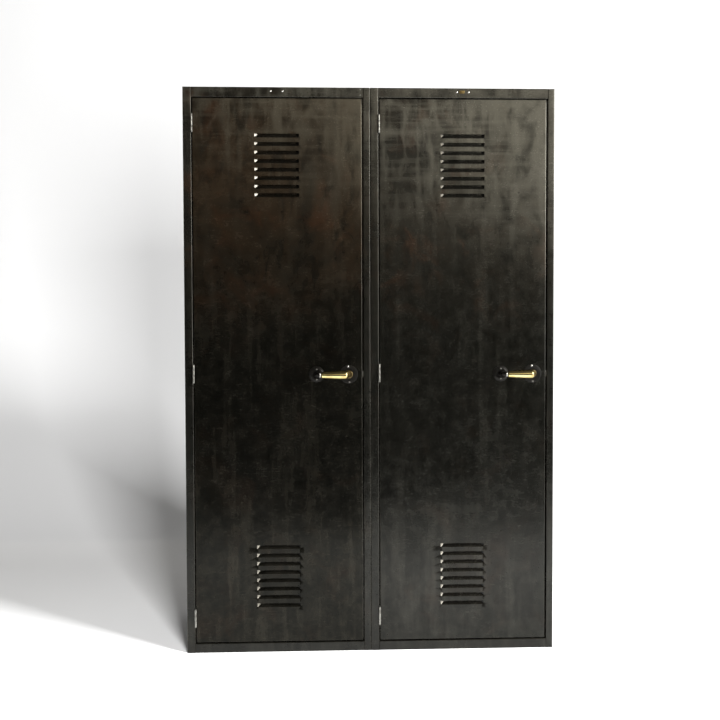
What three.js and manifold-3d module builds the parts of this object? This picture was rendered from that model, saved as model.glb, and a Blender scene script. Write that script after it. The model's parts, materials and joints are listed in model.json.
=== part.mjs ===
// Two single-door steel clothes lockers, bolted together side by side.
//
// Units are millimetres and +Z is up. The fronts face -Y. The origin is on the floor, at the middle of the
// outline seen from above, handles included. Each locker is built about its own middle line and then moved
// to its side. Its hinges are at -X and its lock is at +X.

import * as THREE from 'three';
import { mergeVertices } from 'three/addons/utils/BufferGeometryUtils.js';
import Module from 'manifold-3d';

const wasm = await Module();
wasm.setup();

// Driving dimensions. Sheet and clearances are in sixteenths, so that edges that meet have equal coordinates.
const PAIR_WIDTH = 1200;
const HEIGHT = 1830;
const DEPTH = 500;
const UNIT_GAP = 5 / 16;
const SHEET = 1.25;
const CLEAR = 5 / 16;

const HINGE_STILE = 27;
const LOCK_STILE = 22;
const STILE_RETURN = 20;
const STOP_LIP = 12;
const RAIL_HEIGHT = 31;
const BACK_FLANGE = 15;
const ROOF_FLANGE = 15;

const HINGE_GAP = 2.75;
const LOCK_GAP = 4.5;
const END_GAP = 3;
const DOOR_DEPTH = 17.5;

const LOUVRE_COUNT = 8;
const LOUVRE_PITCH = 27.25;
const LOUVRE_WIDTH = 144;
const LOUVRE_HEIGHT = 13;
const LOUVRE_DEPTH = 7;
const LOUVRE_END = 147.5;

const HINGE_HEIGHT = 57;
const HINGE_LEAF = 7 / 8;
const HINGE_LEAF_DEPTH = 16;
const HINGE_PIN_RADIUS = 1.8;
const HINGE_BARREL_RADIUS = 3.4;
const HINGE_PROUD = 3.75;
const HINGE_KNUCKLES = 3;
const HINGE_END = 115;
const HINGE_MIDDLE = 911;

const HAT_SHELF_TOP = 1520;
const SHELF_FLANGE = 20;
const RAIL_Z = 1450;
const RAIL_RADIUS = 12.5;

const LOCK_Z = 908;
const SPINDLE_X = 125;
const GRIP_AXIS_OUT = 48;
const GRIP_START = 15.8;
const GRIP_LENGTH = 86;
const GRIP_NECK_RADIUS = 10.5;
const GRIP_TIP_RADIUS = 14.5;
const NECK_RADIUS = 7.5;
const NECK_BEND = 8.5;
const TANG_RADIUS = 4.5;
const ROSETTE_RADIUS = 25.5;
const KEY_OFFSET = 104;
const ESCUTCHEON_RADIUS = 30;
const CYLINDER_RADIUS = 13.5;
const BARREL_RADIUS = 10;
const BOLT_THROW = 12;
const BOLT_HALF_HEIGHT = 10;

const SPINDLE_HALF = 4;
const SPINDLE_HOLE = 7;
const FERRULE_SEAT = 0.5;
const FERRULE_SPACE = 4;
const FERRULE_RADIUS = 10.6;
const FERRULE_EDGE = 1;
const TANG_LENGTH = 45;
const FOLLOWER_RADIUS = 10.5;
const ARM_HALF_WIDTH = 3;
const ARM_LENGTH = 21;
const PLUG_RADIUS = 6.6;
const PLUG_BORE = 7;
const KEYWAY_HALF_WIDTH = 0.9;
const KEYWAY_HALF_HEIGHT = 4.5;

// Depths behind the face of the door
const STRIKE_DEPTHS = [5.5, 16.5];
const BOLT_SLOT_DEPTHS = [6.5, 15.5];
const CASE_SLOT_DEPTHS = [6.5, 15.2];
const BOLT_HEAD_DEPTHS = [7, 14.8];
const BOLT_TAIL_DEPTHS = [10, 14.8];
const BOLT_LUG_DEPTHS = [4, 14.8];
const FOLLOWER_DEPTHS = [4, 9.5];
const CAM_DEPTHS = [13.8, 15.2];

// Places that follow from them
const UNIT_WIDTH = (PAIR_WIDTH - UNIT_GAP) / 2;
const HALF = UNIT_WIDTH / 2;
const HANDLE_REACH = GRIP_AXIS_OUT + GRIP_TIP_RADIUS;
const FRONT = (HANDLE_REACH - DEPTH) / 2;
const BACK = FRONT + DEPTH;
const INNER = HALF - SHEET - CLEAR;
const BEHIND_STILES = FRONT + STILE_RETURN + CLEAR;
const INSIDE_BACK = BACK - 2 * (SHEET + CLEAR) - CLEAR;
const RAIL_LEFT = -HALF + HINGE_STILE + CLEAR;
const RAIL_RIGHT = HALF - LOCK_STILE - CLEAR;
const DOOR_LEFT = -HALF + HINGE_STILE + HINGE_GAP;
const DOOR_RIGHT = HALF - LOCK_STILE - LOCK_GAP;
const DOOR_BOTTOM = RAIL_HEIGHT + END_GAP;
const DOOR_TOP = HEIGHT - RAIL_HEIGHT - END_GAP;
const HINGE_X = -HALF + HINGE_STILE + HINGE_GAP / 2;
const HINGE_HEIGHTS = { upper: HEIGHT - HINGE_END, middle: HINGE_MIDDLE, lower: HINGE_END };

// Finishes
const steel = (colour, roughness) => (
  new THREE.MeshStandardMaterial({ color: colour, roughness, metalness: 0.85 })
);
const CASE_STEEL = steel(0x2a2a26, 0.45);
const DOOR_STEEL = steel(0x26241f, 0.42);
const INNER_STEEL = steel(0x35352f, 0.6);
const HINGE_STEEL = steel(0x5a5a54, 0.4);
const LOCK_STEEL = steel(0x4b4a46, 0.5);
const BRIGHT_STEEL = steel(0xb9b7b0, 0.22);
const DARK_IRON = steel(0x1d1c1a, 0.5);
const BRASS = new THREE.MeshStandardMaterial({ color: 0xb08a3c, roughness: 0.25, metalness: 1 });
const DULL_BRASS = new THREE.MeshStandardMaterial({ color: 0x8a6f3a, roughness: 0.4, metalness: 1 });

// Solids

function toSolid(geometry) {
  const bare = geometry.clone();
  bare.deleteAttribute('normal');
  bare.deleteAttribute('uv');
  const merged = mergeVertices(bare, 1e-4);
  return new wasm.Manifold(new wasm.Mesh({
    numProp: 3,
    vertProperties: new Float32Array(merged.attributes.position.array),
    triVerts: new Uint32Array(merged.index.array),
  }));
}

function toGeometry(solid) {
  const { vertProperties, triVerts } = solid.getMesh();
  const geometry = new THREE.BufferGeometry();
  geometry.setAttribute('position', new THREE.BufferAttribute(vertProperties, 3));
  geometry.setIndex(new THREE.BufferAttribute(triVerts, 1));
  geometry.computeVertexNormals();
  return geometry;
}

const join = (...solids) => solids.reduce((whole, next) => whole.add(next));
const cut = (solid, ...tools) => tools.reduce((rest, tool) => rest.subtract(tool), solid);

// A box between two values on each axis.
function block([x0, x1], [y0, y1], [z0, z1]) {
  const geometry = new THREE.BoxGeometry();
  const corners = geometry.attributes.position;
  for (let i = 0; i < corners.count; i += 1) {
    corners.setXYZ(
      i,
      corners.getX(i) < 0 ? x0 : x1,
      corners.getY(i) < 0 ? y0 : y1,
      corners.getZ(i) < 0 ? z0 : z1,
    );
  }
  return toSolid(geometry);
}

// A round bar along 'x', 'y' or 'z', between two values on that axis.
function bar(axis, radius, [from, to], centre = [0, 0], sides = 24) {
  const geometry = new THREE.CylinderGeometry(radius, radius, to - from, sides);
  const middle = (from + to) / 2;
  const [a, b] = centre;
  if (axis === 'x') {
    geometry.rotateZ(-Math.PI / 2);
    geometry.translate(middle, a, b);
  } else if (axis === 'y') {
    geometry.translate(a, middle, b);
  } else {
    geometry.rotateX(Math.PI / 2);
    geometry.translate(a, b, middle);
  }
  return toSolid(geometry);
}

// A ring along Y, centred on the given x and z.
function ring(outer, inner, [from, to], centre = [0, 0], sides = 32) {
  return cut(
    bar('y', outer, [from, to], centre, sides),
    bar('y', inner, [from - 1, to + 1], centre, sides),
  );
}

// A body of revolution about X, from [distance along X, radius] points.
function turned(points, sides = 22) {
  const profile = points.map(([along, radius]) => new THREE.Vector2(radius, along));
  const geometry = new THREE.LatheGeometry(profile, sides);
  geometry.rotateZ(-Math.PI / 2);
  return toSolid(geometry);
}

// An upside-down tray: a plate with flanges that hang from it.
function tray([x0, x1], [y0, y1], top, flange) {
  return cut(
    block([x0, x1], [y0, y1], [top - flange, top]),
    block([x0 + SHEET, x1 - SHEET], [y0 + SHEET, y1 - SHEET], [top - flange - 1, top - SHEET]),
  );
}

function piece(name, solid, material) {
  const mesh = new THREE.Mesh(toGeometry(solid), material);
  mesh.name = name;
  return mesh;
}

// Case

// A side with its stile, made as the -X one: the sheet turns in at the front, back behind the stile and in
// again as the lip that the door shuts against. A narrow flange at the rear takes the back panel.
function side(stileWidth) {
  const outer = -HALF;
  const stileEdge = outer + stileWidth;
  const lipBack = FRONT + STILE_RETURN;
  const flangeBack = BACK - SHEET - CLEAR;
  return join(
    block([outer, outer + SHEET], [FRONT, BACK], [0, HEIGHT]),
    block([outer, stileEdge], [FRONT, FRONT + SHEET], [0, HEIGHT]),
    block([stileEdge - SHEET, stileEdge], [FRONT, lipBack], [0, HEIGHT - SHEET - CLEAR]),
    block([stileEdge - SHEET, stileEdge + STOP_LIP], [lipBack - SHEET, lipBack],
      [RAIL_HEIGHT + CLEAR, HEIGHT - SHEET - CLEAR]),
    block([outer, outer + BACK_FLANGE], [flangeBack - SHEET, flangeBack], [CLEAR, HEIGHT - SHEET - CLEAR]),
  );
}

function hingeSide() {
  return side(HINGE_STILE);
}

// The other side has the slot that the latch bolt springs into.
function lockSide() {
  const slotHalf = BOLT_HALF_HEIGHT + 1.5;
  const slot = block(
    [HALF - LOCK_STILE - 1, HALF - LOCK_STILE + SHEET + 1],
    STRIKE_DEPTHS.map((depth) => FRONT + depth),
    [LOCK_Z - slotHalf, LOCK_Z + slotHalf],
  );
  return cut(side(LOCK_STILE).mirror([1, 0, 0]), slot);
}

function backPanel() {
  return block([-INNER, INNER], [BACK - SHEET, BACK], [CLEAR, HEIGHT - SHEET - CLEAR]);
}

// The roof lies between the sides and over the top rail, with flanges inside the case.
function roofPanel() {
  const sheet = [HEIGHT - SHEET, HEIGHT];
  return join(
    tray([-INNER, INNER], [BEHIND_STILES, INSIDE_BACK], HEIGHT, ROOF_FLANGE),
    block([-INNER, INNER], [FRONT + SHEET + CLEAR, BEHIND_STILES + SHEET / 2], sheet),
    block([-INNER, INNER], [INSIDE_BACK - SHEET / 2, BACK], sheet),
    block([RAIL_LEFT, RAIL_RIGHT], [FRONT, FRONT + 2 * SHEET], sheet),
  );
}

// The top rail's face, its turned-back edge over the door and the lip that the door's top shuts against.
function topRail() {
  const width = [RAIL_LEFT, RAIL_RIGHT];
  const lipWidth = [RAIL_LEFT + STOP_LIP + CLEAR, RAIL_RIGHT - STOP_LIP - CLEAR];
  const bottom = HEIGHT - RAIL_HEIGHT;
  const top = HEIGHT - SHEET - CLEAR;
  const lipFront = FRONT + DOOR_DEPTH + 1;
  return join(
    block(width, [FRONT, FRONT + SHEET], [bottom, top]),
    block(width, [FRONT, lipFront], [bottom, bottom + SHEET]),
    block(lipWidth, [lipFront - SHEET / 2, lipFront + SHEET], [bottom - STOP_LIP, bottom + SHEET]),
  );
}

// The floor is a tray whose front flange is the bottom rail. Its front and rear flanges turn in at the
// bottom, so that the locker stands on flat steel.
function floorPanel() {
  const width = [RAIL_LEFT, RAIL_RIGHT];
  const foot = 18;
  const solid = join(
    block(width, [FRONT, BEHIND_STILES + SHEET], [RAIL_HEIGHT - SHEET, RAIL_HEIGHT]),
    block(width, [FRONT, FRONT + SHEET], [0, RAIL_HEIGHT]),
    block(width, [FRONT, FRONT + foot], [0, SHEET]),
    tray([-INNER, INNER], [BEHIND_STILES, INSIDE_BACK], RAIL_HEIGHT, RAIL_HEIGHT),
    block([-INNER, INNER], [INSIDE_BACK - foot, INSIDE_BACK], [0, SHEET]),
  );
  return cut(solid, block(width, [BEHIND_STILES - 1, BEHIND_STILES + SHEET + 1], [-1, RAIL_HEIGHT - SHEET]));
}

function hatShelf() {
  return tray([-INNER, INNER], [BEHIND_STILES + 2, INSIDE_BACK], HAT_SHELF_TOP, SHELF_FLANGE);
}

// A tube with a screwed flange at each end.
function hangingRail() {
  const flange = 2.5;
  const flangeRadius = 21;
  const wall = 1.5;
  const middle = (FRONT + BACK) / 2;
  const tube = join(
    bar('x', RAIL_RADIUS, [-INNER, INNER], [middle, RAIL_Z], 16),
    bar('x', flangeRadius, [-INNER, -INNER + flange], [middle, RAIL_Z], 16),
    bar('x', flangeRadius, [INNER - flange, INNER], [middle, RAIL_Z], 16),
  );
  return cut(tube, bar('x', RAIL_RADIUS - wall, [-HALF, HALF], [middle, RAIL_Z], 16));
}

// Door

// A louvre is a trough pressed into the door: a quarter of a long flattened capsule below a cut in the sheet.
// At the cut its back wall stands clear behind the sheet, which leaves a slit that opens upwards inside.
// Both shapes have the cut at z = 0 and the door's face at y = 0.
function louvreBody(grow) {
  const radius = LOUVRE_HEIGHT + grow;
  const geometry = new THREE.CapsuleGeometry(radius, LOUVRE_WIDTH - 2 * LOUVRE_HEIGHT, 2, 8);
  geometry.rotateZ(Math.PI / 2);
  geometry.scale(1, (LOUVRE_DEPTH + grow) / radius, 1);
  return toSolid(geometry);
}

function louvreTrough() {
  const quarter = block([-LOUVRE_WIDTH, LOUVRE_WIDTH], [SHEET / 2, LOUVRE_WIDTH], [-LOUVRE_WIDTH, 0]);
  return louvreBody(SHEET).intersect(quarter);
}

function louvreHollow() {
  const wide = [-LOUVRE_WIDTH, LOUVRE_WIDTH];
  return louvreBody(0)
    .intersect(block(wide, wide, [-LOUVRE_WIDTH, LOUVRE_HEIGHT / 2]))
    .subtract(block(wide, [-LOUVRE_WIDTH, SHEET + 1e-3], [0, LOUVRE_WIDTH]));
}

// The cuts' heights, counted inwards from each end of the door.
function louvreHeights() {
  const heights = [];
  for (let i = 0; i < LOUVRE_COUNT; i += 1) {
    heights.push(LOUVRE_END + LOUVRE_HEIGHT + i * LOUVRE_PITCH);
    heights.push(HEIGHT - LOUVRE_END - i * LOUVRE_PITCH);
  }
  return heights;
}

function door() {
  const width = [DOOR_LEFT, DOOR_RIGHT];
  const inside = [DOOR_LEFT + SHEET, DOOR_RIGHT - SHEET];
  const slotHalf = BOLT_HALF_HEIGHT + 0.5;
  const barrelHole = BARREL_RADIUS + 0.6;
  const pan = cut(
    block(width, [FRONT, FRONT + DOOR_DEPTH], [DOOR_BOTTOM, DOOR_TOP]),
    block(inside, [FRONT + SHEET, FRONT + DOOR_DEPTH + 1], [DOOR_BOTTOM + SHEET, DOOR_TOP - SHEET]),
    block([DOOR_RIGHT - SHEET - 1, DOOR_RIGHT + 1], BOLT_SLOT_DEPTHS.map((depth) => FRONT + depth),
      [LOCK_Z - slotHalf, LOCK_Z + slotHalf]),
    bar('y', SPINDLE_HOLE, [FRONT - 1, FRONT + SHEET + 1], [SPINDLE_X, LOCK_Z]),
    bar('y', barrelHole, [FRONT - 1, FRONT + SHEET + 1], [SPINDLE_X + KEY_OFFSET, LOCK_Z]),
  );
  const trough = louvreTrough();
  const hollow = louvreHollow();
  return louvreHeights().reduce((sheet, z) => (
    sheet.add(trough.translate([0, FRONT, z])).subtract(hollow.translate([0, FRONT, z]))
  ), pan);
}

// A hat-shaped channel up the middle of the door, between its two sets of louvres.
function doorStiffener() {
  const front = FRONT + SHEET + CLEAR;
  const rise = 14;
  const rear = front + rise;
  const brim = 32;
  const crown = 16;
  const outline = new THREE.Shape([
    [-brim, front], [-crown + SHEET, front], [-crown + SHEET, rear - SHEET], [crown - SHEET, rear - SHEET],
    [crown - SHEET, front], [brim, front], [brim, front + SHEET], [crown, front + SHEET],
    [crown, rear], [-crown, rear], [-crown, front + SHEET], [-brim, front + SHEET],
  ].map(([x, y]) => new THREE.Vector2(x, y)));
  const space = 40;
  const clearOfLouvres = LOUVRE_END + LOUVRE_COUNT * LOUVRE_PITCH + space;
  const channel = new THREE.ExtrudeGeometry(outline, {
    depth: HEIGHT - 2 * clearOfLouvres, bevelEnabled: false,
  });
  channel.translate(0, 0, clearOfLouvres);
  return toSolid(channel);
}

// Hinges, built about the pin with the middle of the hinge at z = 0

// A leaf with its share of the knuckles. The frame leaf has the odd ones and the door leaf the even ones.
function hingeLeaf(direction, firstKnuckle) {
  const inner = direction * (HINGE_GAP / 2 - CLEAR);
  const outer = direction * (HINGE_GAP / 2 - CLEAR - HINGE_LEAF);
  const span = [Math.min(inner, outer), Math.max(inner, outer)];
  const half = HINGE_HEIGHT / 2;
  const knuckle = HINGE_HEIGHT / HINGE_KNUCKLES;
  let leaf = block(span, [HINGE_PROUD + 3 / 8, HINGE_PROUD + HINGE_LEAF_DEPTH], [-half, half]);
  for (let k = firstKnuckle; k < HINGE_KNUCKLES; k += 2) {
    const height = [-half + k * knuckle + CLEAR / 2, -half + (k + 1) * knuckle - CLEAR / 2];
    leaf = leaf.add(bar('z', HINGE_BARREL_RADIUS, height, [0, 0], 12))
      .add(block(span, [HINGE_PIN_RADIUS, HINGE_PROUD + 1], height));
  }
  return cut(leaf, bar('z', HINGE_PIN_RADIUS + CLEAR, [-half - 1, half + 1], [0, 0], 10));
}

// The pin has a low head at each end, clear of the knuckles.
function hingePin() {
  const half = HINGE_HEIGHT / 2;
  const head = 1.4;
  const headRadius = HINGE_BARREL_RADIUS - 0.3;
  return join(
    bar('z', HINGE_PIN_RADIUS, [-half - CLEAR - head / 2, half + CLEAR + head / 2], [0, 0], 10),
    bar('z', headRadius, [half + CLEAR, half + CLEAR + head], [0, 0], 12),
    bar('z', headRadius, [-half - CLEAR - head, -half - CLEAR], [0, 0], 12),
  );
}

function hinge(prefix, level) {
  const group = new THREE.Group();
  group.position.set(HINGE_X, FRONT - HINGE_PROUD, HINGE_HEIGHTS[level]);
  group.add(
    piece(`${prefix}_${level}_hinge_frame_leaf`, hingeLeaf(-1, 0), HINGE_STEEL),
    piece(`${prefix}_${level}_hinge_door_leaf`, hingeLeaf(1, 1), HINGE_STEEL),
    piece(`${prefix}_${level}_hinge_pin`, hingePin(), HINGE_STEEL),
  );
  return group;
}

// Lever handle, built about the spindle: x and z from its axis, y from the face of the door

function rosette() {
  const back = -CLEAR;
  const base = 3;
  const rise = 5.5;
  const step = 5;
  return cut(
    join(
      bar('y', ROSETTE_RADIUS, [back - base, back], [0, 0], 28),
      bar('y', ROSETTE_RADIUS - step, [back - rise, back - base + 1], [0, 0], 28),
    ),
    bar('y', NECK_RADIUS + 0.6, [-ROSETTE_RADIUS, 1]),
  );
}

// The elbow, the square spindle that goes through the door, and the round tang that holds the grip.
function neck() {
  const path = new THREE.CurvePath();
  const bendStart = -GRIP_AXIS_OUT + NECK_BEND;
  path.add(new THREE.LineCurve3(new THREE.Vector3(0, -1, 0), new THREE.Vector3(0, bendStart, 0)));
  path.add(new THREE.QuadraticBezierCurve3(
    new THREE.Vector3(0, bendStart, 0),
    new THREE.Vector3(0, -GRIP_AXIS_OUT, 0),
    new THREE.Vector3(NECK_BEND, -GRIP_AXIS_OUT, 0),
  ));
  const section = new THREE.Shape();
  section.absarc(0, 0, NECK_RADIUS, 0, 2 * Math.PI);
  const elbow = new THREE.ExtrudeGeometry(section, { steps: 10, extrudePath: path, curveSegments: 7 });
  const axis = [-GRIP_AXIS_OUT, 0];
  return join(
    toSolid(elbow),
    bar('x', NECK_RADIUS, [NECK_BEND - FERRULE_SEAT, NECK_BEND + FERRULE_SEAT], axis, 16),
    bar('x', TANG_RADIUS, [NECK_BEND, GRIP_START + TANG_LENGTH], axis, 12),
    bar('x', NECK_RADIUS, [NECK_BEND + FERRULE_SEAT + FERRULE_SPACE, GRIP_START - CLEAR], axis, 16),
    block([-SPINDLE_HALF, SPINDLE_HALF], [-2, DOOR_DEPTH - 3], [-SPINDLE_HALF, SPINDLE_HALF]),
  );
}

function ferrule() {
  const from = NECK_BEND + FERRULE_SEAT + CLEAR;
  const to = NECK_BEND + FERRULE_SEAT + FERRULE_SPACE - CLEAR;
  const chamfer = 0.8;
  const axis = [-GRIP_AXIS_OUT, 0];
  return cut(
    join(
      bar('x', FERRULE_RADIUS - FERRULE_EDGE, [from, to], axis, 20),
      bar('x', FERRULE_RADIUS, [from + chamfer, to - chamfer], axis, 20),
    ),
    bar('x', TANG_RADIUS + CLEAR, [0, GRIP_START], axis, 12),
  );
}

// The grip swells towards its domed end and is bored for the tang.
function grip() {
  const dome = 8;
  const bore = TANG_RADIUS + CLEAR;
  const boreDepth = TANG_LENGTH + 1;
  const swell = GRIP_TIP_RADIUS - GRIP_NECK_RADIUS;
  const shoulder = GRIP_LENGTH - dome;
  const points = [
    [boreDepth, 0], [boreDepth, bore], [0, bore], [0, GRIP_NECK_RADIUS - 1], [1, GRIP_NECK_RADIUS],
  ];
  const steps = 4;
  for (let i = 1; i <= steps; i += 1) {
    const share = i / steps;
    points.push([1 + share * (shoulder - 1), GRIP_NECK_RADIUS + swell * Math.sin(share * Math.PI / 2)]);
  }
  for (let i = 1; i < steps; i += 1) {
    const turn = (i / steps) * Math.PI / 2;
    points.push([shoulder + dome * Math.sin(turn), GRIP_TIP_RADIUS * Math.cos(turn)]);
  }
  points.push([GRIP_LENGTH, 0]);
  return turned(points).translate([GRIP_START, -GRIP_AXIS_OUT, 0]);
}

// Inside the lock the follower's arm hangs down and draws the bolt back as the handle turns.
function follower() {
  const arm = block([-ARM_HALF_WIDTH, ARM_HALF_WIDTH], FOLLOWER_DEPTHS, [-ARM_LENGTH, 0]);
  const square = [-SPINDLE_HALF - CLEAR, SPINDLE_HALF + CLEAR];
  return cut(
    join(bar('y', FOLLOWER_RADIUS, FOLLOWER_DEPTHS), arm),
    block(square, [0, DOOR_DEPTH], square),
  );
}

// Lock, in the same coordinates as the handle

const CASE_LEFT = -27;
const CASE_RIGHT = DOOR_RIGHT - SHEET - CLEAR - SPINDLE_X;
const CASE_HALF_HEIGHT = 31;
const CASE_BACK = DOOR_DEPTH - 0.5;

// A shallow box, open towards the door.
function lockCase() {
  const front = SHEET + CLEAR;
  const half = CASE_HALF_HEIGHT;
  const slotHalf = BOLT_HALF_HEIGHT + 0.5;
  return cut(
    block([CASE_LEFT, CASE_RIGHT], [front, CASE_BACK], [-half, half]),
    block([CASE_LEFT + SHEET, CASE_RIGHT - SHEET], [0, CASE_BACK - SHEET], [-half + SHEET, half - SHEET]),
    block([CASE_RIGHT - SHEET - 1, CASE_RIGHT + 1], CASE_SLOT_DEPTHS, [-slotHalf, slotHalf]),
  );
}

// The bolt's head is bevelled at the back, so that the door latches when it is pushed shut. Its tail passes
// under the key cylinder and ends in the lug that the follower's arm pushes. Drawn back, the head still
// clears the cylinder.
function latchBolt() {
  const heel = KEY_OFFSET + BARREL_RADIUS + BOLT_THROW + 1;
  const riser = [heel, heel + 8];
  const tip = DOOR_RIGHT - SPINDLE_X + BOLT_THROW;
  const tail = [-26, -14];
  const lug = [-11, -6];
  const bevelSize = 30;
  const bevelAngle = 40;
  const bevelFront = 8.5;
  const head = block([heel, tip], BOLT_HEAD_DEPTHS, [-BOLT_HALF_HEIGHT, BOLT_HALF_HEIGHT]);
  const bevel = block([0, bevelSize], [0, bevelSize], [-bevelSize, bevelSize])
    .rotate([0, 0, bevelAngle])
    .translate([tip, bevelFront, 0]);
  return join(
    cut(head, bevel),
    block(riser, BOLT_TAIL_DEPTHS, [tail[0], 0]),
    block([lug[0], riser[1]], BOLT_TAIL_DEPTHS, tail),
    block(lug, BOLT_LUG_DEPTHS, tail),
  );
}

function escutcheon() {
  const thickness = 1.6;
  return ring(ESCUTCHEON_RADIUS, CYLINDER_RADIUS + 0.5, [-CLEAR - thickness, -CLEAR], [KEY_OFFSET, 0], 28);
}

// The cylinder's brass nose stands proud of the door and its body reaches into the lock case.
function lockCylinder() {
  const centre = [KEY_OFFSET, 0];
  const flangeFront = -5.5;
  const noseFront = -6.5;
  const rear = 13.5;
  const step = 1.5;
  const body = join(
    bar('y', CYLINDER_RADIUS, [flangeFront, -CLEAR], centre, 24),
    bar('y', CYLINDER_RADIUS - step, [noseFront, flangeFront + 0.5], centre, 24),
    bar('y', BARREL_RADIUS, [-1, rear], centre, 20),
  );
  return cut(body, bar('y', PLUG_BORE, [noseFront - 1, rear + 1], centre, 18));
}

// The plug turns in the cylinder. It has a keyway at the front and a short cam at the rear.
function keyPlug() {
  const front = -6.2;
  const rear = 14;
  const camHalfWidth = 3;
  const camTop = 9.5;
  const keywayRear = 4;
  return cut(
    join(
      bar('y', PLUG_RADIUS, [front, rear], [KEY_OFFSET, 0], 18),
      block([KEY_OFFSET - camHalfWidth, KEY_OFFSET + camHalfWidth], CAM_DEPTHS, [-camHalfWidth, camTop]),
    ),
    block(
      [KEY_OFFSET - KEYWAY_HALF_WIDTH, KEY_OFFSET + KEYWAY_HALF_WIDTH],
      [front - 1, keywayRear],
      [-KEYWAY_HALF_HEIGHT, KEYWAY_HALF_HEIGHT],
    ),
  );
}

// One locker

function locker(prefix) {
  const unit = new THREE.Group();
  unit.add(
    piece(`${prefix}_hinge_side`, hingeSide(), CASE_STEEL),
    piece(`${prefix}_lock_side`, lockSide(), CASE_STEEL),
    piece(`${prefix}_back_panel`, backPanel(), INNER_STEEL),
    piece(`${prefix}_roof_panel`, roofPanel(), CASE_STEEL),
    piece(`${prefix}_floor_panel`, floorPanel(), CASE_STEEL),
    piece(`${prefix}_top_rail`, topRail(), CASE_STEEL),
    piece(`${prefix}_hat_shelf`, hatShelf(), INNER_STEEL),
    piece(`${prefix}_hanging_rail`, hangingRail(), INNER_STEEL),
    piece(`${prefix}_door`, door(), DOOR_STEEL),
    piece(`${prefix}_door_stiffener`, doorStiffener(), INNER_STEEL),
  );
  for (const level of Object.keys(HINGE_HEIGHTS)) {
    unit.add(hinge(prefix, level));
  }
  const lock = new THREE.Group();
  lock.position.set(SPINDLE_X, FRONT, LOCK_Z);
  lock.add(
    piece(`${prefix}_handle_rosette`, rosette(), DARK_IRON),
    piece(`${prefix}_handle_neck`, neck(), DARK_IRON),
    piece(`${prefix}_handle_ferrule`, ferrule(), BRIGHT_STEEL),
    piece(`${prefix}_handle_grip`, grip(), BRASS),
    piece(`${prefix}_spindle_follower`, follower(), LOCK_STEEL),
    piece(`${prefix}_lock_case`, lockCase(), LOCK_STEEL),
    piece(`${prefix}_latch_bolt`, latchBolt(), LOCK_STEEL),
    piece(`${prefix}_escutcheon`, escutcheon(), DARK_IRON),
    piece(`${prefix}_lock_cylinder`, lockCylinder(), BRASS),
    piece(`${prefix}_key_plug`, keyPlug(), DULL_BRASS),
  );
  unit.add(lock);
  return unit;
}

const cabinet = new THREE.Group();
const leftUnit = locker('left');
leftUnit.position.x = -(UNIT_WIDTH + UNIT_GAP) / 2;
const rightUnit = locker('right');
rightUnit.position.x = (UNIT_WIDTH + UNIT_GAP) / 2;
cabinet.add(leftUnit, rightUnit);

export default cabinet;
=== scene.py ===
import json
import math

import bmesh
import bpy
from mathutils import Matrix, Vector, noise
from mathutils.geometry import delaunay_2d_cdt


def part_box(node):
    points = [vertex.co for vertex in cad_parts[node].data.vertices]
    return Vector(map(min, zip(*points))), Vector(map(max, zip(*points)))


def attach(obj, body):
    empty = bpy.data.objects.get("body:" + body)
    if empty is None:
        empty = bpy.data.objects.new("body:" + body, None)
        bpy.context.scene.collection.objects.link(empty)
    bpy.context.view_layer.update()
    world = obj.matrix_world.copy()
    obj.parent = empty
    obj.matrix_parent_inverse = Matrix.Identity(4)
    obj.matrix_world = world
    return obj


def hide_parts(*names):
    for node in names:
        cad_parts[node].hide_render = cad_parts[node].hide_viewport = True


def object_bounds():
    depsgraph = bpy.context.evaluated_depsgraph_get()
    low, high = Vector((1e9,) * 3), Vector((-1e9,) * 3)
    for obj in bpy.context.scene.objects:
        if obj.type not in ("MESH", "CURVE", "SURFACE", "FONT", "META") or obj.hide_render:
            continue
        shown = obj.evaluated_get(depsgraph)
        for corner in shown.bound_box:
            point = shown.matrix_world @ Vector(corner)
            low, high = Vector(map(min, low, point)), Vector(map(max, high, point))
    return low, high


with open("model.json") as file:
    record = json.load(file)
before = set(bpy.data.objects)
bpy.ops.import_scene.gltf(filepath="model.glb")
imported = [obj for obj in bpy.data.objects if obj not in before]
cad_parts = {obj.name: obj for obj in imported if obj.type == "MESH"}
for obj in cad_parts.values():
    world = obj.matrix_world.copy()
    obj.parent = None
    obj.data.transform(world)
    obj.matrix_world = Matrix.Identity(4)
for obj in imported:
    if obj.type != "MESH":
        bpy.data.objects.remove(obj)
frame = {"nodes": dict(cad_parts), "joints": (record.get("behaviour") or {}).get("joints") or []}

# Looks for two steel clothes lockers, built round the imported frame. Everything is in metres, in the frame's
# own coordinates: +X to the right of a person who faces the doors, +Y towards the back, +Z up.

SIDES = ("left", "right")
LEVELS = ("upper", "middle", "lower")
MM = 0.001
GAP = 0.3 * MM
SHARP = 35

# Sheet metal
SHEET = 1.25 * MM
BEND = 3 * MM
BEND_STEPS = 6
HINGE_STILE = 27 * MM
LOCK_STILE = 22 * MM
STILE_RETURN = 20 * MM
STOP_LIP = 12 * MM
BACK_FLANGE = 15 * MM
FOOT = 18 * MM
CELL = 24 * MM
WAVE_HEIGHT = 0.35 * MM
STRIKE_HALF = 11.5 * MM
STRIKE_DEPTHS = (5.5 * MM, 16.5 * MM)

# Louvres
LOUVRE_COUNT = 8
LOUVRE_PITCH = 27.25 * MM
LOUVRE_WIDTH = 144 * MM
LOUVRE_HEIGHT = 13 * MM
LOUVRE_DEPTH = 7 * MM
LOUVRE_END = 147.5 * MM
TROUGH_END = 9.5 * MM
TROUGH_LIP = 8.5 * MM
TROUGH_CORNER = 5 * MM
EASING = [(x * 0.7 * MM, z * 0.7 * MM) for x in (-1, 0, 1) for z in (-1, 0, 1)]

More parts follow.
